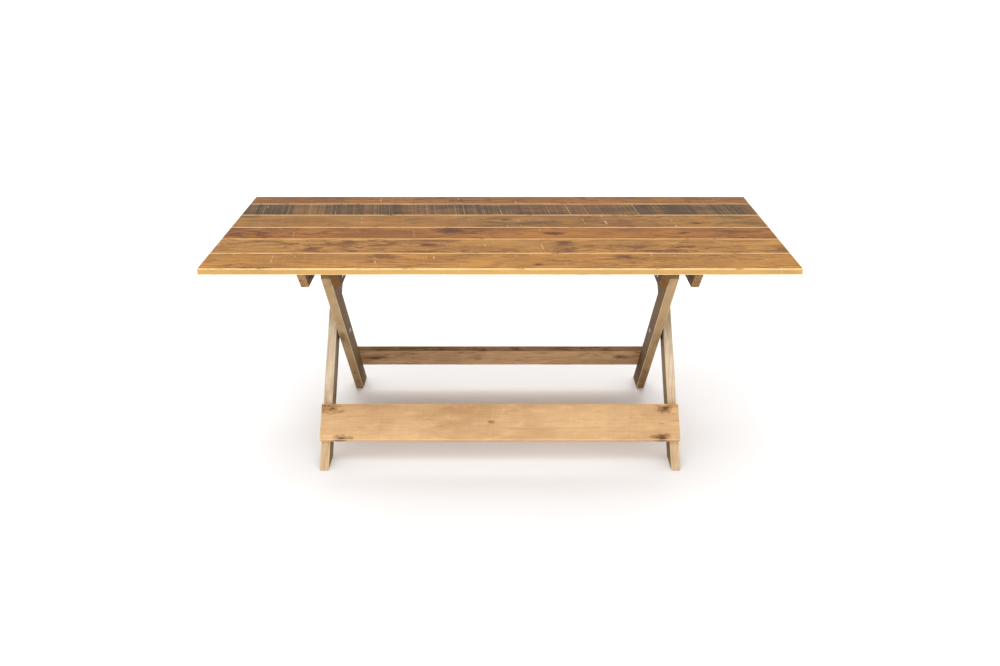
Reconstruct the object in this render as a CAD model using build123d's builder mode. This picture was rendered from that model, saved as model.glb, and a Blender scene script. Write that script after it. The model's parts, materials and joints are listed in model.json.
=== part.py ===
from build123d import *
import math
import os

# Folding picnic table: a six-plank top hinged on one pair of legs, and a second pair
# of legs that crosses the first on two bolts. X runs along the table, Y across it and
# Z up. The origin is on the floor under the middle of the top. All sizes are in mm.

# Driving dimensions of the top. The planks are listed from the front edge to the back.
table_length = 1900
table_height = 750
plank_thickness = 22
plank_widths = [160, 158, 139, 159, 154, 110]
plank_gap = 0.8
seam_round = 2.4
rim_round = 5
end_chamfer = 1

# Driving dimensions of the cross legs
leg_width = 79
leg_thickness = 32
inner_leg_x = 549
outer_leg_x = 590
pivot_height = 364
hinge_setback = 298.5
swing_gap = 0.5
toe_reach = 49.5
board_wear = 1.5

# Driving dimensions of the battens and stop blocks under the top
batten_depth = 82
batten_thickness = 27
inner_batten_x = 518.5
outer_batten_x = 624
batten_half_length = 402
batten_bevel = 80
stop_gap = 0.7
stop_side_gap = 0.5
stop_length = 42
stop_depth = 68

# Driving dimensions of the long stretchers
stretcher_width = 131
stretcher_thickness = 23.5
rear_stretcher_low = 91
front_stretcher_low = 75
front_stretcher_overhang = 1.5

# Coach bolts, nuts and washers
bolt_radius = 5
running_clearance = 0.08
neck_side = 10.8
neck_depth = 5
neck_clearance = 0.1
head_radius = 10
head_height = 4.2
nut_radius = 9.8
nut_height = 8
thread_past_nut = 3
bore_clearance = 0.05
washer_radius = 15
washer_thickness = 2
face_gap = 0.3
nut_recess_radius = 17
nut_recess_depth = 14

# Wood screws
short_screw_radius = 2.5
short_head_radius = 5.2
long_screw_radius = 3
long_head_radius = 6.2
screw_clearance = 0.05
screw_tip = 6
counterbore_radius = 7
seat_height = 38
screw_bite = 15
front_screw_row = -313
back_screw_row = 350
stretcher_screw_spacing = 80
drive_recess_depth = 2

# Values worked out from the driving dimensions
table_width = sum(plank_widths)
underside = table_height - plank_thickness
end_radius = leg_width / 2
hinge_height = underside - swing_gap - end_radius
leg_tilt = math.atan2(hinge_setback, hinge_height - pivot_height)
along_y = math.sin(leg_tilt)
along_z = -math.cos(leg_tilt)
across_y = math.cos(leg_tilt)
across_z = math.sin(leg_tilt)
foot_y = pivot_height * math.tan(leg_tilt)
foot_half = end_radius / across_y
toe_y = -hinge_setback - toe_reach
inner_leg_face = inner_leg_x + leg_thickness
outer_leg_face = outer_leg_x + leg_thickness
screw_seat = underside - seat_height

os.makedirs("parts", exist_ok=True)


def save(piece, name):
    """Label a finished piece and write it as its own STEP file."""
    piece.part.label = name
    export_step(piece.part, f"parts/{name}.step")


def leg_point(distance, offset, lean=1):
    """A point on a leg: distance down from its top centre, offset to its upper side.

    lean is 1 for the inner legs, which lean back towards their feet, and -1 for the outer.
    """
    y = -hinge_setback + along_y * distance + across_y * offset
    z = hinge_height + along_z * distance + across_z * offset
    return lean * y, z


def distance_at_height(height, offset):
    """How far down the leg the line at that offset reaches a height."""
    return (height - hinge_height - across_z * offset) / along_z


def across_plane(distance, offset, lean, x):
    """A plane on a leg's side, facing straight across the leg towards its upper side."""
    y, z = leg_point(distance, offset, lean)
    return Plane(origin=(x, y, z), x_dir=(1, 0, 0), z_dir=(0, lean * across_y, across_z))


# Fasteners. Each model stands on its own axis, with its head at the top.
def wood_screw(length, radius, wide_radius):
    """A countersunk wood screw from z = 0 at its face down to -length, with a hexagon drive."""
    head = wide_radius - radius
    with BuildPart() as screw:
        with BuildSketch(Plane.XZ):
            with BuildLine():
                Polyline(
                    (0, 0),
                    (wide_radius, 0),
                    (radius, -head),
                    (radius, screw_tip - length),
                    (0, -length),
                    close=True,
                )
            make_face()
        revolve(axis=Axis.Z)
        with BuildSketch(Plane.XY):
            RegularPolygon(radius=wide_radius / 2, side_count=6)
        extrude(amount=-drive_recess_depth, mode=Mode.SUBTRACT)
    return screw.part


def coach_bolt(length):
    """A coach bolt whose domed head sits on z = 0 and whose square neck and shank go down."""
    dome_radius = (head_radius**2 + head_height**2) / (2 * head_height)
    half_angle = math.asin(head_radius / dome_radius) / 2
    dome_middle_z = head_height - dome_radius * (1 - math.cos(half_angle))
    with BuildPart() as bolt:
        with BuildSketch(Plane.XZ):
            with BuildLine():
                Line((0, 0), (head_radius, 0))
                ThreePointArc(
                    (head_radius, 0),
                    (dome_radius * math.sin(half_angle), dome_middle_z),
                    (0, head_height),
                )
                Line((0, head_height), (0, 0))
            make_face()
        revolve(axis=Axis.Z)
        with BuildSketch(Plane.XY):
            Rectangle(neck_side, neck_side)
        extrude(amount=-neck_depth)
        with BuildSketch(Plane.XY):
            Circle(bolt_radius)
        extrude(amount=-length)
        chamfer(bolt.edges().group_by(Axis.Z)[0], length=0.8)
    return bolt.part


def hex_nut():
    """A hexagon nut from z = 0 down to -nut_height."""
    with BuildPart() as nut:
        with BuildSketch(Plane.XY):
            RegularPolygon(radius=nut_radius, side_count=6)
            Circle(bolt_radius + bore_clearance, mode=Mode.SUBTRACT)
        extrude(amount=-nut_height)
    return nut.part


def ring(thickness):
    """A washer or spacer from z = 0 down to -thickness."""
    with BuildPart() as washer:
        with BuildSketch(Plane.XY):
            Circle(washer_radius)
            Circle(bolt_radius + bore_clearance, mode=Mode.SUBTRACT)
        extrude(amount=-thickness)
        chamfer(washer.edges().filter_by(GeomType.CIRCLE).sort_by(SortBy.RADIUS)[-2:], length=0.3)
    return washer.part


def group(model, places, name):
    """Write copies of one fastener, one at each place, as separate solids in one node."""
    with BuildPart() as fasteners:
        with Locations(*places):
            add(model)
    save(fasteners, name)


def on_both_sides(x, y, z, outward):
    """A place at x and its mirror image, with the model's head turned outward or inward."""
    turn = 90 if outward else -90
    return [Location((side * x, y, z), (0, side * turn, 0)) for side in (1, -1)]


# The top: six planks side by side, their upper long edges worn round
plank_starts = [sum(plank_widths[:count]) - table_width / 2 for count in range(len(plank_widths))]
plank_middles = [start + width / 2 for start, width in zip(plank_starts, plank_widths)]
screw_rows = [max(front_screw_row, min(back_screw_row, middle)) for middle in plank_middles]
batten_middles = [low + batten_thickness / 2 for low in (inner_batten_x, outer_batten_x)]
stop_start = -toe_y + stop_gap
stop_low_x = inner_batten_x + batten_thickness + stop_side_gap
stop_high_x = outer_batten_x - stop_side_gap
stop_middle_y = stop_start + stop_length / 2
stop_screw_xs = [stop_low_x + (stop_high_x - stop_low_x) * share for share in (0.25, 0.75)]

for number, (start, width) in enumerate(zip(plank_starts, plank_widths), start=1):
    is_front = number == 1
    is_back = number == len(plank_widths)
    near = start if is_front else start + plank_gap / 2
    far = start + width if is_back else start + width - plank_gap / 2
    screw_spots = [(side * x, screw_rows[number - 1]) for side in (-1, 1) for x in batten_middles]
    if is_back:
        screw_spots += [(side * x, stop_middle_y) for side in (-1, 1) for x in stop_screw_xs]
    with BuildPart() as plank:
        with BuildSketch(Plane.YZ.offset(-table_length / 2)):
            with Locations(((near + far) / 2, underside + plank_thickness / 2)):
                Rectangle(far - near, plank_thickness)
        extrude(amount=table_length)
        top_edges = plank.edges().filter_by(Axis.X).group_by(Axis.Z)[-1].sort_by(Axis.Y)
        fillet(top_edges[0], radius=rim_round if is_front else seam_round)
        top_edges = plank.edges().filter_by(Axis.X).group_by(Axis.Z)[-1].sort_by(Axis.Y)
        fillet(top_edges[-1], radius=rim_round if is_back else seam_round)
        chamfer(plank.edges().filter_by(Axis.Y).group_by(Axis.Z)[-1], length=end_chamfer)
        with BuildSketch(Plane.XY.offset(underside)):
            with Locations(*screw_spots):
                Circle(short_screw_radius + screw_clearance)
        extrude(amount=screw_bite + 1, mode=Mode.SUBTRACT)
    save(plank, f"top_plank_{number}")


# The battens: two at each end, bevelled at both ends, with sunk screw holes from below
def batten(side, low_x, has_hinge, name):
    """One cross batten on the left (side -1) or right (side 1) of the table."""
    with BuildPart() as bar:
        with BuildSketch(Plane.YZ.offset(side * low_x)):
            with BuildLine():
                Polyline(
                    (-batten_half_length, underside),
                    (-batten_half_length + batten_bevel, underside - batten_depth),
                    (batten_half_length - batten_bevel, underside - batten_depth),
                    (batten_half_length, underside),
                    close=True,
                )
            make_face()
        extrude(amount=side * batten_thickness)
        chamfer(bar.edges().filter_by(Axis.Y).group_by(Axis.Z)[0], length=board_wear)
        screw_spots = [(side * (low_x + batten_thickness / 2), row) for row in screw_rows]
        with BuildSketch(Plane.XY.offset(underside - batten_depth)):
            with Locations(*screw_spots):
                Circle(counterbore_radius)
        extrude(amount=batten_depth - seat_height, mode=Mode.SUBTRACT)
        with BuildSketch(Plane.XY.offset(screw_seat)):
            with Locations(*screw_spots):
                Circle(short_head_radius + screw_clearance)
        extrude(amount=short_head_radius - short_screw_radius, taper=45, mode=Mode.SUBTRACT)
        with BuildSketch(Plane.XY.offset(screw_seat)):
            with Locations(*screw_spots):
                Circle(short_screw_radius + screw_clearance)
        extrude(amount=seat_height, mode=Mode.SUBTRACT)
        if has_hinge:
            with BuildSketch(Plane.YZ.offset(side * low_x)):
                with Locations((-hinge_setback, hinge_height)):
                    Circle(bolt_radius + running_clearance)
            extrude(amount=side * batten_thickness, mode=Mode.SUBTRACT)
    save(bar, name)


# Blocks between each pair of battens, which stop the outer legs from spreading
def stop_block(side, name):
    """One stop block, behind the toe of an outer leg."""
    with BuildPart() as block:
        with BuildSketch(Plane.YZ.offset(side * stop_low_x)):
            with Locations((stop_middle_y, underside - stop_depth / 2)):
                Rectangle(stop_length, stop_depth)
        extrude(amount=side * (stop_high_x - stop_low_x))
        chamfer(block.edges().group_by(Axis.Z)[0], length=board_wear)
        screw_spots = [(side * x, stop_middle_y) for x in stop_screw_xs]
        with BuildSketch(Plane.XY.offset(underside - stop_depth)):
            with Locations(*screw_spots):
                Circle(counterbore_radius)
        extrude(amount=stop_depth - seat_height, mode=Mode.SUBTRACT)
        with BuildSketch(Plane.XY.offset(screw_seat)):
            with Locations(*screw_spots):
                Circle(short_head_radius + screw_clearance)
        extrude(amount=short_head_radius - short_screw_radius, taper=45, mode=Mode.SUBTRACT)
        with BuildSketch(Plane.XY.offset(screw_seat)):
            with Locations(*screw_spots):
                Circle(short_screw_radius + screw_clearance)
        extrude(amount=seat_height, mode=Mode.SUBTRACT)
    save(block, name)


# The legs. Every leg has the same outline: a flat foot, and a top end that is square
# with one rounded corner, so that it clears the planks as it swings. The toe is clipped.
rear_centre = distance_at_height(rear_stretcher_low, end_radius) - stretcher_width / 2
front_centre = distance_at_height(front_stretcher_low, end_radius) - stretcher_width / 2
half_spacing = stretcher_screw_spacing / 2


def leg(side, lean, low_x, screw_centre, name):
    """One cross leg. The inner legs lean 1 and carry the bolt heads. The outer legs lean -1
    and have a recess in their outer faces for the nut of the cross bolt."""
    clip_offset = (-toe_reach + along_y * end_radius) / across_y
    clip_distance = (-toe_reach + across_y * end_radius) / along_y
    round_start = leg_point(0, end_radius, lean)
    round_middle = leg_point(
        -end_radius * math.sin(math.pi / 4), end_radius * math.cos(math.pi / 4), lean
    )
    with BuildPart() as post:
        with BuildSketch(Plane.YZ.offset(side * low_x)):
            with BuildLine():
                Polyline(
                    round_start,
                    (lean * (foot_y + foot_half), 0),
                    (lean * (foot_y - foot_half), 0),
                    leg_point(clip_distance, -end_radius, lean),
                    leg_point(-end_radius, clip_offset, lean),
                    leg_point(-end_radius, 0, lean),
                )
                ThreePointArc(leg_point(-end_radius, 0, lean), round_middle, round_start)
            make_face()
        extrude(amount=side * leg_thickness)
        chamfer(post.faces().filter_by(Axis.X).edges(), length=board_wear)
        bores = [(0, pivot_height)]
        if lean == 1:
            bores.append((-hinge_setback, hinge_height))
        clearance = bore_clearance if lean == 1 else running_clearance
        with BuildSketch(Plane.YZ.offset(side * low_x)):
            with Locations(*bores):
                Circle(bolt_radius + clearance)
        extrude(amount=side * leg_thickness, mode=Mode.SUBTRACT)
        if lean == 1:
            pocket_side = neck_side + 2 * neck_clearance
            with BuildSketch(Plane.YZ.offset(side * low_x)):
                with Locations(bores[0]):
                    Rectangle(pocket_side, pocket_side)
            extrude(amount=side * (neck_depth + neck_clearance), mode=Mode.SUBTRACT)
            with BuildSketch(Plane.YZ.offset(side * (low_x + leg_thickness))):
                with Locations(bores[1]):
                    Rectangle(pocket_side, pocket_side)
            extrude(amount=-side * (neck_depth + neck_clearance), mode=Mode.SUBTRACT)
        else:
            with BuildSketch(Plane.YZ.offset(side * (low_x + leg_thickness))):
                with Locations(bores[0]):
                    Circle(nut_recess_radius)
            extrude(amount=-side * nut_recess_depth, mode=Mode.SUBTRACT)
        for step in (-half_spacing, half_spacing):
            entry = across_plane(
                screw_centre + step, -end_radius, lean, side * (low_x + leg_thickness / 2)
            )
            with BuildSketch(entry):
                Circle(long_screw_radius + screw_clearance)
            extrude(amount=leg_width, mode=Mode.SUBTRACT)
            with BuildSketch(entry):
                Circle(long_head_radius + screw_clearance)
            extrude(amount=long_head_radius - long_screw_radius, taper=45, mode=Mode.SUBTRACT)
    save(post, name)


# The stretchers: one long board across each pair of legs, on their upper faces
def stretcher(lean, centre, half_length, leg_middle, name):
    """One stretcher, drilled from behind for its screws."""
    ends = (centre - stretcher_width / 2, centre + stretcher_width / 2)
    with BuildPart() as board:
        with BuildSketch(Plane.YZ.offset(-half_length)):
            with BuildLine():
                Polyline(
                    leg_point(ends[0], end_radius, lean),
                    leg_point(ends[1], end_radius, lean),
                    leg_point(ends[1], end_radius + stretcher_thickness, lean),
                    leg_point(ends[0], end_radius + stretcher_thickness, lean),
                    close=True,
                )
            make_face()
        extrude(amount=2 * half_length)
        chamfer(board.edges().filter_by(Axis.X), length=board_wear)
        for side in (-1, 1):
            for step in (-half_spacing, half_spacing):
                with BuildSketch(across_plane(centre + step, end_radius, lean, side * leg_middle)):
                    Circle(long_screw_radius + screw_clearance)
                extrude(amount=screw_bite + 1, mode=Mode.SUBTRACT)
    save(board, name)


for side, word in ((-1, "left"), (1, "right")):
    batten(side, inner_batten_x, True, f"inner_batten_{word}")
    batten(side, outer_batten_x, False, f"outer_batten_{word}")
    stop_block(side, f"stop_block_{word}")
    leg(side, 1, inner_leg_x, rear_centre, f"inner_leg_{word}")
    leg(side, -1, outer_leg_x, front_centre, f"outer_leg_{word}")

inner_leg_middle = inner_leg_x + leg_thickness / 2
outer_leg_middle = outer_leg_x + leg_thickness / 2
front_half_length = outer_leg_face + front_stretcher_overhang
stretcher(1, rear_centre, inner_leg_face, inner_leg_middle, "rear_stretcher")
stretcher(-1, front_centre, front_half_length, outer_leg_middle, "front_stretcher")


# Screws up through the battens and stop blocks into the planks
short_screw = wood_screw(seat_height + screw_bite, short_screw_radius, short_head_radius)
for side, word in ((-1, "left"), (1, "right")):
    places = [
        Location((side * x, row, screw_seat), (180, 0, 0)) for x in batten_middles for row in screw_rows
    ]
    group(short_screw, places, f"batten_screws_{word}")
stop_places = [
    Location((side * x, stop_middle_y, screw_seat), (180, 0, 0))
    for side in (-1, 1)
    for x in stop_screw_xs
]
group(short_screw, stop_places, "stop_block_screws")


# Screws through the legs into the stretchers
def stretcher_screw_places(lean, centre, leg_middle):
    """Places for the four screws of one stretcher, with their heads in the legs' lower faces."""
    places = []
    for side in (-1, 1):
        for step in (-half_spacing, half_spacing):
            y, z = leg_point(centre + step, -end_radius, lean)
            inward = (0, -lean * across_y, -across_z)
            places.append(Plane(origin=(side * leg_middle, y, z), x_dir=(1, 0, 0), z_dir=inward).location)
    return places


long_screw = wood_screw(leg_width + screw_bite, long_screw_radius, long_head_radius)
group(long_screw, stretcher_screw_places(1, rear_centre, inner_leg_middle), "rear_stretcher_screws")
group(long_screw, stretcher_screw_places(-1, front_centre, outer_leg_middle), "front_stretcher_screws")

# The cross bolts, which the two pairs of legs turn on. Their heads are on the inner legs,
# and their nuts are sunk in the outer legs.
cross_washer_x = outer_leg_face - nut_recess_depth + face_gap
cross_nut_x = cross_washer_x + washer_thickness
cross_bolt_length = cross_nut_x + nut_height + thread_past_nut - inner_leg_x
cross_spacer_length = outer_leg_x - inner_leg_face - face_gap
group(coach_bolt(cross_bolt_length), on_both_sides(inner_leg_x, 0, pivot_height, False), "cross_bolts")
group(
    ring(cross_spacer_length),
    on_both_sides(inner_leg_face + cross_spacer_length, 0, pivot_height, True),
    "cross_spacers",
)
group(ring(washer_thickness), on_both_sides(cross_nut_x, 0, pivot_height, True), "cross_washers")
group(hex_nut(), on_both_sides(cross_nut_x + nut_height, 0, pivot_height, True), "cross_nuts")

# The hinge bolts, which the top turns on. Their heads are on the outside of the inner legs.
hinge_washer_x = inner_batten_x - face_gap
hinge_nut_x = hinge_washer_x - washer_thickness
hinge_bolt_length = inner_leg_face - hinge_nut_x + nut_height + thread_past_nut
hinge_spacer_length = inner_leg_x - inner_batten_x - batten_thickness - face_gap
group(
    coach_bolt(hinge_bolt_length),
    on_both_sides(inner_leg_face, -hinge_setback, hinge_height, True),
    "hinge_bolts",
)
group(
    ring(hinge_spacer_length),
    on_both_sides(inner_leg_x, -hinge_setback, hinge_height, True),
    "hinge_spacers",
)
group(
    ring(washer_thickness),
    on_both_sides(hinge_washer_x, -hinge_setback, hinge_height, True),
    "hinge_washers",
)
group(hex_nut(), on_both_sides(hinge_nut_x, -hinge_setback, hinge_height, True), "hinge_nuts")
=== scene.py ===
# Looks for the folding picnic table: worn reclaimed boards that stand in for the CAD boards, and
# metal finishes on its fasteners. All lengths are in metres, in the frame of the CAD model.
import json
import math

import bmesh
import bpy
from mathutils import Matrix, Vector, noise


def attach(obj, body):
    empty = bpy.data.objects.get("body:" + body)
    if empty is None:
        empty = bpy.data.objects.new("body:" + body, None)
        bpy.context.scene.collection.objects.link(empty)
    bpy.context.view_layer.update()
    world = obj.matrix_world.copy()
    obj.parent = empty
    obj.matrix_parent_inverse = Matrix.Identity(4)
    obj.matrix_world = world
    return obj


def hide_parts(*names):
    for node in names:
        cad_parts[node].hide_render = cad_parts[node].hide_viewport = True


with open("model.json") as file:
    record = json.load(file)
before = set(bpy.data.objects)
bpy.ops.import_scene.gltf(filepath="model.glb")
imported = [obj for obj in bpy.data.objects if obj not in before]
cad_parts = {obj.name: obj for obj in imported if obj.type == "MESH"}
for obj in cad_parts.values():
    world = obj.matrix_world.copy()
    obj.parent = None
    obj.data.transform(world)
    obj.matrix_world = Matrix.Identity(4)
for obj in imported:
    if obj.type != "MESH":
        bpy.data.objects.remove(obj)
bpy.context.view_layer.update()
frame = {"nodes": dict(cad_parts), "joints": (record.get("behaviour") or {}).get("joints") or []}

# The camera, found by fitting the table's edges
CAMERA_DISTANCE = 3.585
CAMERA_HEIGHT = 1.812
CAMERA_PITCH = math.radians(22.14)
CAMERA_LENS = 38.08
SENSOR_WIDTH = 36.0
CAMERA_REACH = 100

X_AXIS = Vector((1, 0, 0))
Y_AXIS = Vector((0, 1, 0))
Z_AXIS = Vector((0, 0, 1))

# The direction down each pair of legs, from the places of the two joints
joint_places = {joint["name"]: Vector(joint["pos_m"]) for joint in frame["joints"]}
leg_line = joint_places["cross_pivot"] - joint_places["top_hinge"]
INNER_DOWN = Vector((0, leg_line.y, leg_line.z)).normalized()
OUTER_DOWN = Vector((0, -leg_line.y, leg_line.z)).normalized()


# ---------------------------------------------------------------- worn boards
# How finely a board's section and length are divided
CORNER_STEPS = 4
FACE_STEPS = 3
STATION_PITCH = 0.012

# A blank is longer than its board, so that the cut makes both ends, and a hair slimmer
END_ALLOWANCE = 0.003
FACE_CLEARANCE = 0.00005

# An edge's radius, as shares of the board's wear: the least, and what slow and quick waves add
LEAST_ROUNDING = 0.55
SLOW_ROUNDING = 0.65
QUICK_ROUNDING = 0.5
SLOW_WAVES = 5.0
QUICK_WAVES = 38.0

# How far apart seeds and a board's four corners lie in the noise
WAVE_SHIFT = (7.31, 3.17)
SLOW_CORNER_SHIFT = 1.7
QUICK_CORNER_SHIFT = 2.9
HOLLOW_SHIFT = 5.0

# Hollows in the faces, in noise cells per metre
HOLLOWS_ALONG = 7.0
HOLLOWS_ACROSS = 22.0

SHARP_ANGLE = math.radians(32)
JOIN_DISTANCE = 1e-6
SLIVER_DISTANCE = 5e-6

# How far each kind of board's edges are rounded and its faces hollowed: (wear, dip)
PLANK_WEAR = (0.0044, 0.0006)
BATTEN_WEAR = (0.0030, 0.0004)
BLOCK_WEAR = (0.0022, 0.0003)
LEG_WEAR = (0.0026, 0.0005)


def waviness(u, seed, scale):
    """A smooth random value from 0 to 1 along a board."""
    place = Vector((u * scale, seed * WAVE_SHIFT[0], seed * WAVE_SHIFT[1]))
    return 0.5 + 0.5 * noise.noise(place)


def ring_points(half_width, half_thick, radii):
    """The outline of a board's section: (across, depth, outward across, outward depth)."""
    points = []
    corners = [(1, 1), (-1, 1), (-1, -1), (1, -1)]
    for index, (side_w, side_t) in enumerate(corners):
        radius = radii[index]
        centre_w = side_w * (half_width - radius)
        centre_t = side_t * (half_thick - radius)
        first = index * math.pi / 2
        for step in range(CORNER_STEPS + 1):
            angle = first + step / CORNER_STEPS * math.pi / 2
            out_w, out_t = math.cos(angle), math.sin(angle)
            points.append((centre_w + radius * out_w, centre_t + radius * out_t, out_w, out_t))
        following = corners[(index + 1) % 4]
        next_radius = radii[(index + 1) % 4]
        end_w = following[0] * (half_width - next_radius)
        end_t = following[1] * (half_thick - next_radius)
        out_angle = first + math.pi / 2
        out_w, out_t = math.cos(out_angle), math.sin(out_angle)
        start_w = centre_w + radius * out_w
        start_t = centre_t + radius * out_t
        stop_w = end_w + next_radius * out_w
        stop_t = end_t + next_radius * out_t
        for step in range(1, FACE_STEPS + 1):
            share = step / (FACE_STEPS + 1)
            w = start_w + (stop_w - start_w) * share
            t = start_t + (stop_t - start_t) * share
            points.append((w, t, out_w, out_t))
    return points


def worn_blank(name, centre, axes, size, wear, dip, seed):
    """A board of that size, longer than needed, with uneven rounded edges and hollowed faces.

    axes are the directions along the board, across it and through it, and size goes with them.
    """
    along, across, depth = axes
    length = size[0] + 2 * END_ALLOWANCE
    stations = max(3, int(length / STATION_PITCH))
    build = bmesh.new()
    rings = []
    for station in range(stations + 1):
        u = -length / 2 + length * station / stations
        radii = []
        for corner in range(4):
            slow = waviness(u, seed + corner * SLOW_CORNER_SHIFT, SLOW_WAVES)
            quick = waviness(u, seed + corner * QUICK_CORNER_SHIFT, QUICK_WAVES)
            rounding = LEAST_ROUNDING + SLOW_ROUNDING * slow + QUICK_ROUNDING * quick * quick
            radii.append(wear * rounding)
        half_width = size[1] / 2 - FACE_CLEARANCE
        half_thick = size[2] / 2 - FACE_CLEARANCE
        outline = ring_points(half_width, half_thick, radii)
        ring = []
        for w, t, out_w, out_t in outline:
            from_middle = w * HOLLOWS_ACROSS + seed * HOLLOW_SHIFT
            place = Vector((u * HOLLOWS_ALONG, from_middle, t * HOLLOWS_ACROSS))
            inward = dip * (0.5 + 0.5 * noise.noise(place))
            w -= out_w * inward
            t -= out_t * inward
            ring.append(build.verts.new(centre + along * u + across * w + depth * t))
        rings.append(ring)
    count = len(rings[0])
    for first, second in zip(rings, rings[1:]):
        for index in range(count):
            following = (index + 1) % count
            build.faces.new((first[index], first[following], second[following], second[index]))
    build.faces.new(list(reversed(rings[0])))
    build.faces.new(rings[-1])
    bmesh.ops.recalc_face_normals(build, faces=build.faces)
    mesh = bpy.data.meshes.new(name)
    build.to_mesh(mesh)
    build.free()
    piece = bpy.data.objects.new(name, mesh)
    bpy.context.scene.collection.objects.link(piece)
    return piece


def closed_copy(node):
    """A copy of a CAD node's mesh with its split corners joined, for cutting boards to shape."""
    build = bmesh.new()
    build.from_mesh(frame["nodes"][node].data)
    bmesh.ops.remove_doubles(build, verts=build.verts, dist=JOIN_DISTANCE)
    bmesh.ops.recalc_face_normals(build, faces=build.faces)
    mesh = bpy.data.meshes.new(node + "_cutter")
    build.to_mesh(mesh)
    build.free()
    cutter = bpy.data.objects.new(node + "_cutter", mesh)
    bpy.context.scene.collection.objects.link(cutter)
    return cutter


def keep_common(piece, cutter):
    """Leave only what the piece and the cutter share, and remove the cutter."""
    modifier = piece.modifiers.new("cut", "BOOLEAN")
    modifier.operation = "INTERSECT"
    modifier.solver = "EXACT"
    modifier.object = cutter
    bpy.context.view_layer.update()
    evaluated = piece.evaluated_get(bpy.context.evaluated_depsgraph_get())
    mesh = bpy.data.meshes.new_from_object(evaluated)
    piece.modifiers.clear()
    piece.data = mesh
    bpy.data.objects.remove(cutter)


def smooth_by_angle(piece):
    """Clear slivers left by the cut, and shade smoothly except where the surface turns quickly."""
    build = bmesh.new()
    build.from_mesh(piece.data)
    bmesh.ops.remove_doubles(build, verts=build.verts, dist=SLIVER_DISTANCE)
    bmesh.ops.dissolve_degenerate(build, edges=build.edges, dist=JOIN_DISTANCE)
    for face in build.faces:
        face.smooth = True
    for edge in build.edges:
        edge.smooth = len(edge.link_faces) == 2 and edge.calc_face_angle(0) < SHARP_ANGLE
    build.to_mesh(piece.data)
    build.free()


def worn_board(node, body, axes, wear_and_dip, seed, material):
    """Stand a worn board in for a CAD board, cut to its outline and holes."""
    corners = [vertex.co for vertex in frame["nodes"][node].data.vertices]
    spans = [(min(p.dot(a) for p in corners), max(p.dot(a) for p in corners)) for a in axes]
    size = [high - low for low, high in spans]
    centre = Vector((0, 0, 0))
    for axis, (low, high) in zip(axes, spans):
        centre += axis * (low + high) / 2
    piece = worn_blank("worn_" + node, centre, axes, size, *wear_and_dip, seed)
    keep_common(piece, closed_copy(node))
    smooth_by_angle(piece)
    piece.data.materials.clear()
    piece.data.materials.append(material)
    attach(piece, body)
    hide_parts(node)


def middle_along(node, axis):
    """How far along an axis the middle of a CAD node lies."""
    reach = [vertex.co.dot(axis) for vertex in frame["nodes"][node].data.vertices]
    return (min(reach) + max(reach)) / 2


# ------------------------------------------------------------------ materials
def linear(red, green, blue):
    """A colour given on the 0 to 255 screen scale, as linear light."""
    values = []
    for value in (red, green, blue):
        share = value / 255
        values.append(share / 12.92 if share <= 0.04045 else ((share + 0.055) / 1.055) ** 2.4)
    return (*values, 1.0)


def scaled(tone, factor):
    """A screen colour as linear light, made brighter or darker."""
    red, green, blue, _ = linear(*tone)
    return (min(1.0, red * factor), min(1.0, green * factor), min(1.0, blue * factor), 1.0)


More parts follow.
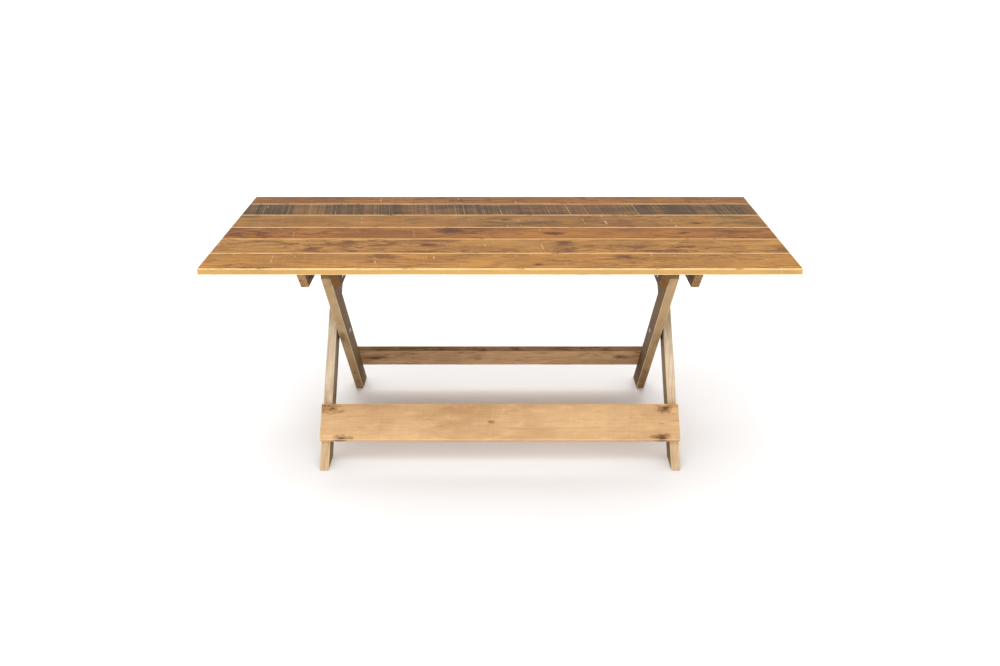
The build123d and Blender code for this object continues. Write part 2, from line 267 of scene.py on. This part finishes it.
class Shader:
    """A material whose nodes are added by short calls."""

    def __init__(self, name):
        self.material = bpy.data.materials.new(name)
        self.material.use_nodes = True
        self.tree = self.material.node_tree
        self.tree.nodes.clear()
        output = self.tree.nodes.new("ShaderNodeOutputMaterial")
        self.surface = self.tree.nodes.new("ShaderNodeBsdfPrincipled")
        self.join(self.surface.outputs["BSDF"], output.inputs["Surface"])
        self.coordinates = self.tree.nodes.new("ShaderNodeTexCoord")

    def join(self, start, end):
        self.tree.links.new(start, end)

    def put(self, socket, value):
        """Link a socket to another, or set it to a plain value."""
        if isinstance(value, bpy.types.NodeSocket):
            self.join(value, socket)
        else:
            socket.default_value = value

    def math(self, operation, first, second=0.0, third=0.0):
        node = self.tree.nodes.new("ShaderNodeMath")
        node.operation = operation
        for socket, value in zip(node.inputs, (first, second, third)):
            self.put(socket, value)
        return node.outputs[0]

    def add(self, first, second):
        return self.math("ADD", first, second)

    def times(self, first, second):
        return self.math("MULTIPLY", first, second)

    def centred(self, value):
        """A 0 to 1 value moved to lie about 0."""
        return self.math("SUBTRACT", value, 0.5)

    def distance(self, first, second):
        """The length of a line whose two parts at right angles are given."""
        squares = self.add(self.math("POWER", first, 2.0), self.math("POWER", second, 2.0))
        return self.math("SQRT", squares)

    def dot(self, vector, axis):
        node = self.tree.nodes.new("ShaderNodeVectorMath")
        node.operation = "DOT_PRODUCT"
        self.put(node.inputs[0], vector)
        node.inputs[1].default_value = axis
        return node.outputs["Value"]

    def combine(self, x, y, z):
        node = self.tree.nodes.new("ShaderNodeCombineXYZ")
        for socket, value in zip(node.inputs, (x, y, z)):
            self.put(socket, value)
        return node.outputs[0]

    def stretch(self, vector, scale, shift):
        node = self.tree.nodes.new("ShaderNodeVectorMath")
        node.operation = "MULTIPLY_ADD"
        self.put(node.inputs[0], vector)
        node.inputs[1].default_value = scale
        node.inputs[2].default_value = shift
        return node.outputs[0]

    def noise(self, vector, detail=3.0, rough=0.55, distortion=0.0):
        """Noise with one cell to each unit of the vector."""
        node = self.tree.nodes.new("ShaderNodeTexNoise")
        self.put(node.inputs["Vector"], vector)
        node.inputs["Scale"].default_value = 1.0
        node.inputs["Detail"].default_value = detail
        node.inputs["Roughness"].default_value = rough
        node.inputs["Distortion"].default_value = distortion
        return node.outputs["Fac"]

    def rise(self, value, low, high):
        """0 below low, 1 above high, smooth between; falls instead where high is under low."""
        node = self.tree.nodes.new("ShaderNodeMapRange")
        node.interpolation_type = "SMOOTHSTEP"
        self.put(node.inputs["Value"], value)
        flipped = high < low
        node.inputs["From Min"].default_value = min(low, high)
        node.inputs["From Max"].default_value = max(low, high)
        node.inputs["To Min"].default_value = 1.0 if flipped else 0.0
        node.inputs["To Max"].default_value = 0.0 if flipped else 1.0
        return node.outputs[0]

    def blend(self, share, first, second, mode="MIX"):
        node = self.tree.nodes.new("ShaderNodeMix")
        node.data_type = "RGBA"
        node.blend_type = mode
        self.put(node.inputs[0], share)
        self.put(node.inputs[6], first)
        self.put(node.inputs[7], second)
        return node.outputs[2]

    def tint(self, colour, tone, share, strength):
        """Lay a tone over a colour where a share says, at that strength."""
        return self.blend(self.times(share, strength), colour, tone)

    def darken(self, colour, shade, balance):
        """A colour at a share of its brightness, with a balance of red, green and blue."""
        return self.blend(1.0, colour, (*(shade * part for part in balance), 1.0), "MULTIPLY")

    def bump(self, height, strength, distance):
        node = self.tree.nodes.new("ShaderNodeBump")
        node.inputs["Strength"].default_value = strength
        node.inputs["Distance"].default_value = distance
        self.put(node.inputs["Height"], height)
        self.join(node.outputs[0], self.surface.inputs["Normal"])


# Noise cells per metre along the grain and across it, from broad to fine across it
BROAD_CELLS = (2.4, 5.0)
CLUSTER_CELLS = (2.0, 6.0)
RING_DRIFT_CELLS = (1.6, 7.0)
SAW_PATCH_CELLS = (2.2, 9.0)
CLOUD_CELLS = (2.9, 12.0)
NICK_BREAK_CELLS = (8.0, 24.0)
PATCH_CELLS = (6.5, 26.0)
RING_WANDER_CELLS = (7.0, 40.0)
MOTTLE_CELLS = (16.0, 46.0)
RAGGED_CELLS = (30.0, 90.0)
STREAK_CELLS = (3.2, 110.0)
FIBRE_CELLS = (14.0, 620.0)

# How far a board's seed moves it in the noise, for two sets that don't line up
FIRST_SHIFT = (3.7, 1.9, 2.3)
OTHER_SHIFT = (1.3, 4.1, 0.7)

# Marks across the board: how far they slant, and noise cells per metre along it
SAW_SLANT = 0.10
BAND_LINES = 7.0
BOLD_SAW_LINES = 95.0
NICK_LINES = 120.0
SAW_LINES = 150.0

# Growth rings: phase per metre from the pith, what noise adds to it, and where the pith lies
RING_PHASE = 460.0
RING_DRIFT = 60.0
RING_WANDER = 6.0
PITH_DEPTH = 0.06
PITH_SPREAD = 0.08
PITH_SHIFT = 0.37

# The balance of red, green and blue in darkened wood: painted shade on side faces and darker faces
# turned across, painted shade near the floor, and sawn ends
SIDE_BALANCE = (1.0, 0.97, 0.93)
FOOT_BALANCE = (1.0, 0.86, 0.70)
END_BALANCE = (1.0, 0.94, 0.86)

NICK_TONE = (222, 196, 158)
KNOT_HEART_TONE = (64, 36, 26)
KNOT_SQUEEZE = 0.5
FACING_FRONT = (0.0, -1.0, 0.0)
WOOD_SPECULAR = 0.10

# The heights at which the painted shade near a leg's foot begins and is darkest
FOOT_TOP = 0.30
FOOT_DARKEST = 0.06


class Grain:
    """Where a shaded point lies on a board, and noise drawn out along that board."""

    def __init__(self, sh, axes, seed):
        self.sh = sh
        self.seed = seed
        self.point = sh.coordinates.outputs["Object"]
        self.along, self.across, self.depth = [sh.dot(self.point, axis) for axis in axes]
        self.place = sh.combine(self.along, self.across, self.depth)
        self.slant = sh.math("MULTIPLY_ADD", self.across, SAW_SLANT, self.along)

    def noise(self, cells, shift=FIRST_SHIFT, **settings):
        along_cells, across_cells = cells
        scale = (along_cells, across_cells, across_cells)
        moved = tuple(self.seed * step for step in shift)
        return self.sh.noise(self.sh.stretch(self.place, scale, moved), **settings)

    def lines(self, per_metre, row, **settings):
        """Noise that makes lines across the board. Each row is another set of lines."""
        place = self.sh.combine(self.sh.times(self.slant, per_metre), self.seed, row)
        return self.sh.noise(place, **settings)


def growth_rings(sh, grain):
    """Rings from 0 to 1: long arched figure on the faces, and arcs on the ends."""
    drift = grain.noise(RING_DRIFT_CELLS, detail=2.0)
    wander = grain.noise(RING_WANDER_CELLS, detail=2.0)
    pith_across = (grain.seed * PITH_SHIFT % 1.0 - 0.5) * PITH_SPREAD
    radius = sh.distance(sh.add(grain.across, pith_across), sh.add(grain.depth, PITH_DEPTH))
    phase = sh.add(sh.times(radius, RING_PHASE), sh.times(drift, RING_DRIFT))
    phase = sh.add(phase, sh.times(wander, RING_WANDER))
    return sh.math("MULTIPLY_ADD", sh.math("SINE", phase), 0.5, 0.5)


def ground_colour(sh, grain, rings, mottle, fibres, tone, blotch_tone, figure):
    """Broad changes, long streaks, growth rings and fine fibres."""
    blotch_colour = linear(*blotch_tone)
    deep_tone = sh.blend(0.42, linear(*tone), blotch_colour)
    broad = grain.noise(BROAD_CELLS, OTHER_SHIFT, detail=3.0)
    streaks = grain.noise(STREAK_CELLS, detail=4.0, rough=0.6)
    late_wood = sh.rise(rings, 0.55, 1.0)
    colour = sh.blend(sh.rise(broad, 0.34, 0.66), deep_tone, scaled(tone, 1.10))
    colour = sh.tint(colour, scaled(tone, 1.34), sh.rise(mottle, 0.44, 0.72), strength=0.46)
    colour = sh.tint(colour, deep_tone, sh.rise(streaks, 0.50, 0.74), strength=0.50)
    colour = sh.tint(colour, blotch_colour, late_wood, strength=0.30 * figure)
    return sh.tint(colour, blotch_colour, sh.rise(fibres, 0.52, 0.72), strength=0.24)


def add_blotches(sh, grain, colour, ragged, blotch_tone, stain_tone, blotch, stain):
    """Ragged red-brown blotches with small specks about them, and broad grey stains."""
    patches = grain.noise(PATCH_CELLS, detail=9.0, rough=0.74, distortion=1.6)
    patches = sh.math("MULTIPLY_ADD", sh.centred(ragged), 0.28, patches)
    clouds = grain.noise(CLOUD_CELLS, OTHER_SHIFT, detail=8.0, rough=0.68)
    cluster = sh.rise(grain.noise(CLUSTER_CELLS, detail=2.0), 0.38, 0.58)
    spread = 0.14 * blotch
    near_share = sh.times(sh.rise(patches, 0.52 - spread, 0.64 - spread), cluster)
    blotch_share = sh.times(sh.rise(patches, 0.60 - spread, 0.66 - spread), cluster)
    speck_share = sh.times(sh.rise(ragged, 0.60, 0.66), near_share)
    stain_spread = 0.2 * stain
    stain_share = sh.rise(clouds, 0.63 - stain_spread, 0.74 - stain_spread)
    colour = sh.tint(colour, linear(*blotch_tone), near_share, strength=0.34)
    colour = sh.tint(colour, scaled(blotch_tone, 0.9), blotch_share, strength=0.70)
    colour = sh.tint(colour, scaled(blotch_tone, 0.55), speck_share, strength=0.72)
    return sh.tint(colour, linear(*stain_tone), stain_share, strength=0.62)


def add_bands(sh, grain, colour, stain_tone, bands):
    """Dark steps across the board, more of it dark near its ends."""
    band = grain.lines(BAND_LINES, row=9.0, detail=3.0, rough=0.7)
    near_ends = sh.rise(sh.math("ABSOLUTE", grain.along), 0.35, 0.62)
    band = sh.math("MULTIPLY_ADD", near_ends, 0.11, band)
    return sh.tint(colour, scaled(stain_tone, 0.62), sh.rise(band, 0.53, 0.64), strength=bands)


def add_saw_marks(sh, grain, colour, saw_line, stain_tone, edge_tone, saw):
    """Close even lines left by the saw, light and dark, with a few bolder strokes."""
    saw_bold = grain.lines(BOLD_SAW_LINES, row=5.0, detail=0.0)
    saw_patch = sh.rise(grain.noise(SAW_PATCH_CELLS, detail=3.0), 0.30, 0.52)
    saw_light = sh.times(sh.rise(saw_line, 0.54, 0.66), saw_patch)
    saw_dark = sh.times(sh.rise(saw_line, 0.46, 0.34), saw_patch)
    saw_stroke = sh.times(sh.rise(saw_bold, 0.74, 0.79), saw_patch)
    colour = sh.tint(colour, scaled(edge_tone, 0.45), saw_light, strength=0.55 * saw)
    colour = sh.tint(colour, scaled(stain_tone, 0.75), saw_dark, strength=0.60 * saw)
    return sh.tint(colour, scaled(edge_tone, 0.55), saw_stroke, strength=0.70 * saw)


def add_knots(sh, grain, colour, mottle, ragged, blotch_tone, knots):
    """Knots with a dark heart and a brown halo drawn out along the grain.

    Returns the colour and how far each place is hollowed.
    """
    hollow = 0.0
    for knot_along, knot_across, knot_radius in knots:
        from_along = sh.times(sh.math("SUBTRACT", grain.along, knot_along), KNOT_SQUEEZE)
        from_across = sh.math("SUBTRACT", grain.across, knot_across)
        away = sh.distance(from_along, from_across)
        ragged_edge = sh.add(sh.centred(mottle), sh.centred(ragged))
        away = sh.add(away, sh.times(ragged_edge, knot_radius * 5.0))
        halo = sh.times(sh.rise(away, knot_radius * 1.9, knot_radius * 1.1), 0.66)
        heart = sh.times(sh.rise(away, knot_radius * 0.75, knot_radius * 0.2), 0.7)
        colour = sh.blend(halo, colour, scaled(blotch_tone, 0.8))
        colour = sh.blend(heart, colour, linear(*KNOT_HEART_TONE))
        hollow = sh.add(heart, hollow)
    return colour, hollow


def wood(name, axes, seed, tone, blotch_tone, stain_tone, edge_tone, blotch=0.4, stain=0.2,
         ticks=0.4, saw=0.15, bands=0.0, knots=(), cuts=(), lit_front_tone=None, side_shade=1.0,
         edge_shade=1.0, end_shade=0.62, foot_shade=1.0, figure=1.0, rough=0.6):
    """Reclaimed wood for one board, from screen colours.

    axes are the directions along the board, across it and through it. blotch and stain say how
    much of the board those tones cover, ticks how strong its stray saw nicks are, saw how strong
    its even saw marks are, bands how far it darkens in steps along its length, figure how
    strongly its growth rings show. knots are (along, across, radius) in metres, cuts the
    directions of its slanting ends, lit_front_tone a painted lighter tone for faces turned to the
    front, standing in for the light that falls on them.

    The shades are shares of full brightness: side_shade is painted shade for faces turned
    through the board, edge_shade darkens faces turned across it, end_shade darkens its sawn ends
    and foot_shade is painted shade near the floor.
    """
    sh = Shader(name)
    grain = Grain(sh, axes, seed)
    rings = growth_rings(sh, grain)
    mottle = grain.noise(MOTTLE_CELLS, detail=5.0, rough=0.62)
    fibres = grain.noise(FIBRE_CELLS, detail=3.0)
    ragged = grain.noise(RAGGED_CELLS, OTHER_SHIFT, detail=5.0, rough=0.7)
    saw_line = grain.lines(SAW_LINES, row=3.0, detail=2.0)

    colour = ground_colour(sh, grain, rings, mottle, fibres, tone, blotch_tone, figure)
    colour = add_blotches(sh, grain, colour, ragged, blotch_tone, stain_tone, blotch, stain)
    if bands:
        colour = add_bands(sh, grain, colour, stain_tone, bands)
    colour = add_saw_marks(sh, grain, colour, saw_line, stain_tone, edge_tone, saw)

    # a few stray pale nicks
    nick_line = grain.lines(NICK_LINES, row=0.0, detail=0.0)
    nick_break = grain.noise(NICK_BREAK_CELLS, OTHER_SHIFT, detail=2.0)
    nicks = sh.times(sh.rise(nick_line, 0.76, 0.79), sh.rise(nick_break, 0.54, 0.62))
    colour = sh.tint(colour, linear(*NICK_TONE), nicks, strength=0.70 * ticks)
    colour, hollow = add_knots(sh, grain, colour, mottle, ragged, blotch_tone, knots)

    # painted shade on side faces, darker faces turned across, a painted lighter front and painted
    # shade near the floor
    normal = sh.coordinates.outputs["Normal"]
    facing_along, facing_across, facing_depth = [
        sh.math("ABSOLUTE", sh.dot(normal, axis)) for axis in axes
    ]
    for cut in cuts:
        facing_along = sh.math("MAXIMUM", facing_along, sh.math("ABSOLUTE", sh.dot(normal, cut)))
    # painted shade: faces turned through the board are darkened in the colour, as are faces turned
    # across it where edge_shade is set
    for facing, shade in ((facing_depth, side_shade), (facing_across, edge_shade)):
        if shade < 1.0:
            darkened_copy = sh.darken(colour, shade, SIDE_BALANCE)
            colour = sh.blend(sh.rise(facing, 0.5, 0.85), colour, darkened_copy)
    if lit_front_tone:
        # painted light: faces turned to the front, where the light falls, take a lighter tone
        lit_front_share = sh.rise(sh.dot(normal, FACING_FRONT), 0.88, 0.98)
        colour = sh.tint(colour, linear(*lit_front_tone), lit_front_share, strength=0.56)
    if foot_shade < 1.0:
        # painted shade near the floor, uneven with the mottle
        height_up = sh.dot(grain.point, Z_AXIS)
        shade_height = sh.math("MULTIPLY_ADD", sh.centred(mottle), 0.10, height_up)
        footed = sh.darken(colour, foot_shade, FOOT_BALANCE)
        colour = sh.blend(sh.rise(shade_height, FOOT_TOP, FOOT_DARKEST), colour, footed)

    # worn edges, which face between those directions: paler fresh wood and a painted highlight,
    # and sawn ends
    flattest = sh.math("MAXIMUM", sh.math("MAXIMUM", facing_across, facing_depth), facing_along)
    worn_and_highlight_share = sh.times(sh.rise(flattest, 0.985, 0.90), sh.rise(mottle, 0.24, 0.46))
    colour = sh.tint(colour, linear(*edge_tone), worn_and_highlight_share, strength=0.92)
    sawn = sh.darken(colour, end_shade, END_BALANCE)
    colour = sh.blend(sh.rise(facing_along, 0.80, 0.97), colour, sawn)

    sh.join(colour, sh.surface.inputs["Base Color"])
    worn_rough = sh.math("MULTIPLY_ADD", mottle, 0.22, rough - 0.08)
    sh.join(sh.add(worn_rough, sh.times(fibres, 0.10)), sh.surface.inputs["Roughness"])
    sh.surface.inputs["Specular IOR Level"].default_value = WOOD_SPECULAR
    height = sh.add(sh.times(fibres, -0.55), sh.times(rings, 0.22))
    height = sh.math("SUBTRACT", height, sh.times(nicks, 0.7 * ticks))
    height = sh.add(height, sh.times(saw_line, 1.1 * saw + 0.15))
    height = sh.math("SUBTRACT", height, sh.times(hollow, 0.8))
    sh.bump(height, strength=0.45, distance=0.0006)
    return sh.material


METAL_GRIME = (96, 88, 78)
SPANGLES = (260.0, 260.0, 260.0)


def metal(name, tone, rough):
    """Plated steel with a mottled, slightly dulled finish."""
    sh = Shader(name)
    point = sh.coordinates.outputs["Object"]
    spangle = sh.noise(sh.stretch(point, SPANGLES, (0, 0, 0)), detail=3.0)
    darkened_copy = sh.blend(0.45, linear(*tone), linear(*METAL_GRIME))
    finish = sh.blend(sh.rise(spangle, 0.42, 0.70), linear(*tone), darkened_copy)
    sh.join(finish, sh.surface.inputs["Base Color"])
    sh.join(sh.math("MULTIPLY_ADD", spangle, 0.3, rough - 0.15), sh.surface.inputs["Roughness"])
    sh.surface.inputs["Metallic"].default_value = 0.9
    sh.bump(spangle, strength=0.2, distance=0.0003)
    return sh.material


# ------------------------------------------------------------ the table's top
PLANK_AXES = (X_AXIS, Y_AXIS, Z_AXIS)
# The pale edge tones of the planks: worn fresh wood and a painted highlight, brightest along the
# front rim
RIM_TONE = (250, 218, 166)
SEAM_TONE = (232, 190, 132)
RED_BROWN = (112, 62, 34)
GREY_BROWN = (78, 62, 48)

plank_looks = [
    {
        "tone": (164, 116, 53), "blotch_tone": (104, 58, 24), "stain_tone": (108, 88, 50),
        "blotch": 0.44, "stain": 0.22, "ticks": 0.7, "saw": 0.12, "lit_front_tone": (228, 184, 112),
        "knots": [(-0.385, -0.318, 0.014), (0.402, -0.322, 0.013), (0.12, -0.40, 0.006)],
    },
    {
        "tone": (163, 118, 58), "blotch_tone": (98, 54, 24), "stain_tone": (90, 76, 46),
        "blotch": 0.72, "stain": 0.30, "ticks": 0.5, "saw": 0.14,
        "knots": [(-0.63, -0.235, 0.011), (-0.50, -0.155, 0.012), (-0.245, -0.19, 0.009),
                  (0.60, -0.21, 0.012), (0.22, -0.165, 0.010)],
    },
    {
        "tone": (146, 94, 40), "blotch_tone": (84, 44, 18), "stain_tone": (76, 52, 28),
        "blotch": 0.74, "stain": 0.26, "ticks": 0.4, "saw": 0.06,
        "knots": [(-0.60, -0.055, 0.006), (-0.17, -0.03, 0.016), (0.19, -0.06, 0.014),
                  (0.64, -0.05, 0.008)],
    },
    {
        "tone": (144, 102, 50), "blotch_tone": (92, 54, 26), "stain_tone": (56, 46, 30),
        "blotch": 0.30, "stain": 0.42, "ticks": 0.5, "saw": 0.10,
        "knots": [(0.02, 0.11, 0.006), (0.70, 0.07, 0.010)],
    },
    {
        "tone": (112, 80, 44), "blotch_tone": (82, 48, 28), "stain_tone": (60, 49, 37),
        "blotch": 0.50, "stain": 0.60, "ticks": 0.6, "saw": 0.70, "bands": 0.62,
    },
    {
        "tone": (138, 91, 42), "blotch_tone": (88, 49, 22), "stain_tone": (76, 56, 34),
        "blotch": 0.46, "stain": 0.30, "ticks": 0.6, "saw": 0.14,
        "knots": [(-0.05, 0.39, 0.008)],
    },
]
for number, look in enumerate(plank_looks, start=1):
    plank_wood = wood(
        f"plank_wood_{number}", PLANK_AXES, seed=number * 1.37 + 2.0,
        edge_tone=RIM_TONE if number == 1 else SEAM_TONE, **look
    )
    worn_board(
        f"top_plank_{number}", "table_top", PLANK_AXES, PLANK_WEAR, seed=number * 2.3,
        material=plank_wood,
    )

# ------------------------------------------------------ battens, blocks, legs
BATTEN_AXES = (Y_AXIS, Z_AXIS, X_AXIS)

# The ends' directions: battens are cut at 45 degrees, legs level and upright
HALF_RIGHT = math.sqrt(0.5)
BATTEN_CUTS = [(0.0, HALF_RIGHT, HALF_RIGHT), (0.0, -HALF_RIGHT, HALF_RIGHT)]
LEG_CUTS = [(0.0, 0.0, 1.0), (0.0, 1.0, 0.0)]

# The battens' tones carry painted shade from under the table top, the inner battens darker still
SHADED_INNER_BATTEN_TONE = (122, 90, 54)
SHADED_OUTER_BATTEN_TONE = (172, 140, 98)
BATTEN_EDGE = (196, 162, 120)
for index, node in enumerate(
    ["inner_batten_left", "inner_batten_right", "outer_batten_left", "outer_batten_right"]
):
    shaded_batten_tone = SHADED_INNER_BATTEN_TONE if node.startswith("inner") else SHADED_OUTER_BATTEN_TONE
    batten_wood = wood(
        node + "_wood", BATTEN_AXES, seed=11.0 + index * 1.9,
        tone=shaded_batten_tone, blotch_tone=(98, 64, 38), stain_tone=GREY_BROWN, edge_tone=BATTEN_EDGE,
        blotch=0.30, ticks=0.0, saw=0.05, cuts=BATTEN_CUTS, side_shade=0.62, end_shade=0.92,
    )
    worn_board(
        node, "table_top", BATTEN_AXES, BATTEN_WEAR, seed=20.0 + index,
        material=batten_wood,
    )

block_wood = wood(
    "stop_block_wood", PLANK_AXES, seed=17.3,
    tone=(126, 90, 58), blotch_tone=RED_BROWN, stain_tone=GREY_BROWN, edge_tone=BATTEN_EDGE,
    blotch=0.3,
)
for index, node in enumerate(["stop_block_left", "stop_block_right"]):
    worn_board(
        node, "table_top", PLANK_AXES, BLOCK_WEAR, seed=30.0 + index,
        material=block_wood,
    )

# For each leg: its body, the direction down it, its tone, its stain and its side faces' painted
# shade
leg_looks = {
    "inner_leg_left": ("inner_frame", INNER_DOWN, (172, 147, 112), 0.30, 0.50),
    "inner_leg_right": ("inner_frame", INNER_DOWN, (174, 147, 110), 0.34, 0.50),
    "outer_leg_left": ("outer_frame", OUTER_DOWN, (240, 219, 190), 0.06, 0.36),
    "outer_leg_right": ("outer_frame", OUTER_DOWN, (242, 221, 190), 0.06, 0.36),
}
for index, (node, (body, down, tone, stain, side_shade)) in enumerate(leg_looks.items()):
    leg_axes = (down, X_AXIS.cross(down).normalized(), X_AXIS)
    leg_wood = wood(
        node + "_wood", leg_axes, seed=41.0 + index * 2.7,
        tone=tone, blotch_tone=(142, 108, 72), stain_tone=(104, 86, 66), edge_tone=(226, 198, 156),
        blotch=-0.2, stain=stain, ticks=0.3, saw=0.12, figure=0.6, cuts=LEG_CUTS,
        side_shade=side_shade, end_shade=0.55, foot_shade=0.72, rough=0.66,
    )
    worn_board(
        node, body, leg_axes, LEG_WEAR, seed=50.0 + index, material=leg_wood
    )

# ----------------------------------------------------------------- stretchers
front_middle = middle_along("front_stretcher", OUTER_DOWN)
rear_middle = middle_along("rear_stretcher", INNER_DOWN)
front_axes = (X_AXIS, OUTER_DOWN, X_AXIS.cross(OUTER_DOWN).normalized())
front_wood = wood(
    "front_stretcher_wood", front_axes, seed=63.0,
    tone=(212, 174, 128), blotch_tone=(164, 116, 72), stain_tone=(112, 94, 80),
    edge_tone=(236, 206, 164),
    blotch=-0.25, stain=0.10, ticks=0.9, saw=0.14, figure=0.3, rough=0.58,
    knots=[(-0.592, front_middle - 0.048, 0.013), (-0.555, front_middle + 0.060, 0.010),
           (-0.030, front_middle, 0.004), (0.585, front_middle - 0.050, 0.010),
           (0.560, front_middle + 0.060, 0.009)],
)
worn_board(
    "front_stretcher", "outer_frame", front_axes, LEG_WEAR, seed=61.0,
    material=front_wood,
)
rear_axes = (X_AXIS, INNER_DOWN, X_AXIS.cross(INNER_DOWN).normalized())
rear_wood = wood(
    "rear_stretcher_wood", rear_axes, seed=67.0,
    tone=(196, 160, 118), blotch_tone=(124, 84, 54), stain_tone=(98, 80, 64),
    edge_tone=(190, 160, 124),
    blotch=0.42, stain=0.28, ticks=0.3, saw=0.08, edge_shade=0.55, rough=0.62,
    knots=[(-0.487, rear_middle, 0.012), (-0.087, rear_middle + 0.01, 0.006),
           (0.470, rear_middle - 0.01, 0.011)],
)
worn_board(
    "rear_stretcher", "inner_frame", rear_axes, LEG_WEAR, seed=67.0,
    material=rear_wood,
)

# ------------------------------------------------------------------ fasteners
zinc = metal("zinc_plate", tone=(176, 184, 190), rough=0.42)
dull_steel = metal("dull_steel", tone=(122, 112, 102), rough=0.55)
for node, cad_object in frame["nodes"].items():
    if node.endswith("screws") or "_screws_" in node:
        finish = dull_steel
    elif node.startswith(("cross_", "hinge_")):
        finish = zinc
    else:
        continue
    cad_object.data.materials.clear()
    cad_object.data.materials.append(finish)

# ------------------------------------------------------ stage, light, camera
FLOOR_REACH = 30.0
FLOOR_DROP = 0.0005
FLOOR_WHITE = (0.92, 0.92, 0.92, 1.0)
WORLD_STRENGTH = 0.78

floor_mesh = bpy.data.meshes.new("floor")
floor_mesh.from_pydata(
    [(-FLOOR_REACH, -FLOOR_REACH, 0), (FLOOR_REACH, -FLOOR_REACH, 0),
     (FLOOR_REACH, FLOOR_REACH, 0), (-FLOOR_REACH, FLOOR_REACH, 0)],
    [], [(0, 1, 2, 3)],
)
floor = bpy.data.objects.new("floor", floor_mesh)
floor.location.z = -FLOOR_DROP
bpy.context.scene.collection.objects.link(floor)
floor_shader = Shader("pale_floor")
floor_shader.surface.inputs["Base Color"].default_value = FLOOR_WHITE
floor_shader.surface.inputs["Roughness"].default_value = 0.9
floor_shader.surface.inputs["Specular IOR Level"].default_value = 0.1
floor_mesh.materials.append(floor_shader.material)


def area_light(name, place, target, size, power):
    """A square soft light at a place, pointed at a target."""
    light = bpy.data.lights.new(name, "AREA")
    light.shape = "SQUARE"
    light.size = size
    light.energy = power
    lamp = bpy.data.objects.new(name, light)
    lamp.location = place
    lamp.rotation_euler = (Vector(target) - Vector(place)).to_track_quat("-Z", "Y").to_euler()
    bpy.context.scene.collection.objects.link(lamp)


area_light("overhead", place=(-0.6, -1.4, 4.2), target=(0, 0, 0.4), size=3.5, power=70)
area_light("front_fill", place=(0.4, -4.6, 1.7), target=(0, 0, 0.3), size=3.0, power=60)
area_light("floor_wash", place=(0, 14.0, 9.0), target=(0, 14.0, 0), size=18.0, power=2400)
world = bpy.data.worlds.new("studio")
world.use_nodes = True
background = world.node_tree.nodes["Background"]
background.inputs["Color"].default_value = (1.0, 1.0, 1.0, 1.0)
background.inputs["Strength"].default_value = WORLD_STRENGTH
bpy.context.scene.world = world
bpy.context.scene.view_settings.view_transform = "Standard"

camera = bpy.data.cameras.new("camera")
camera.sensor_width = SENSOR_WIDTH
camera.lens = CAMERA_LENS
camera.clip_end = CAMERA_REACH
viewer = bpy.data.objects.new("camera", camera)
viewer.location = (0, -CAMERA_DISTANCE, CAMERA_HEIGHT)
viewer.rotation_euler = (math.pi / 2 - CAMERA_PITCH, 0, 0)
bpy.context.scene.collection.objects.link(viewer)
bpy.context.scene.camera = viewer
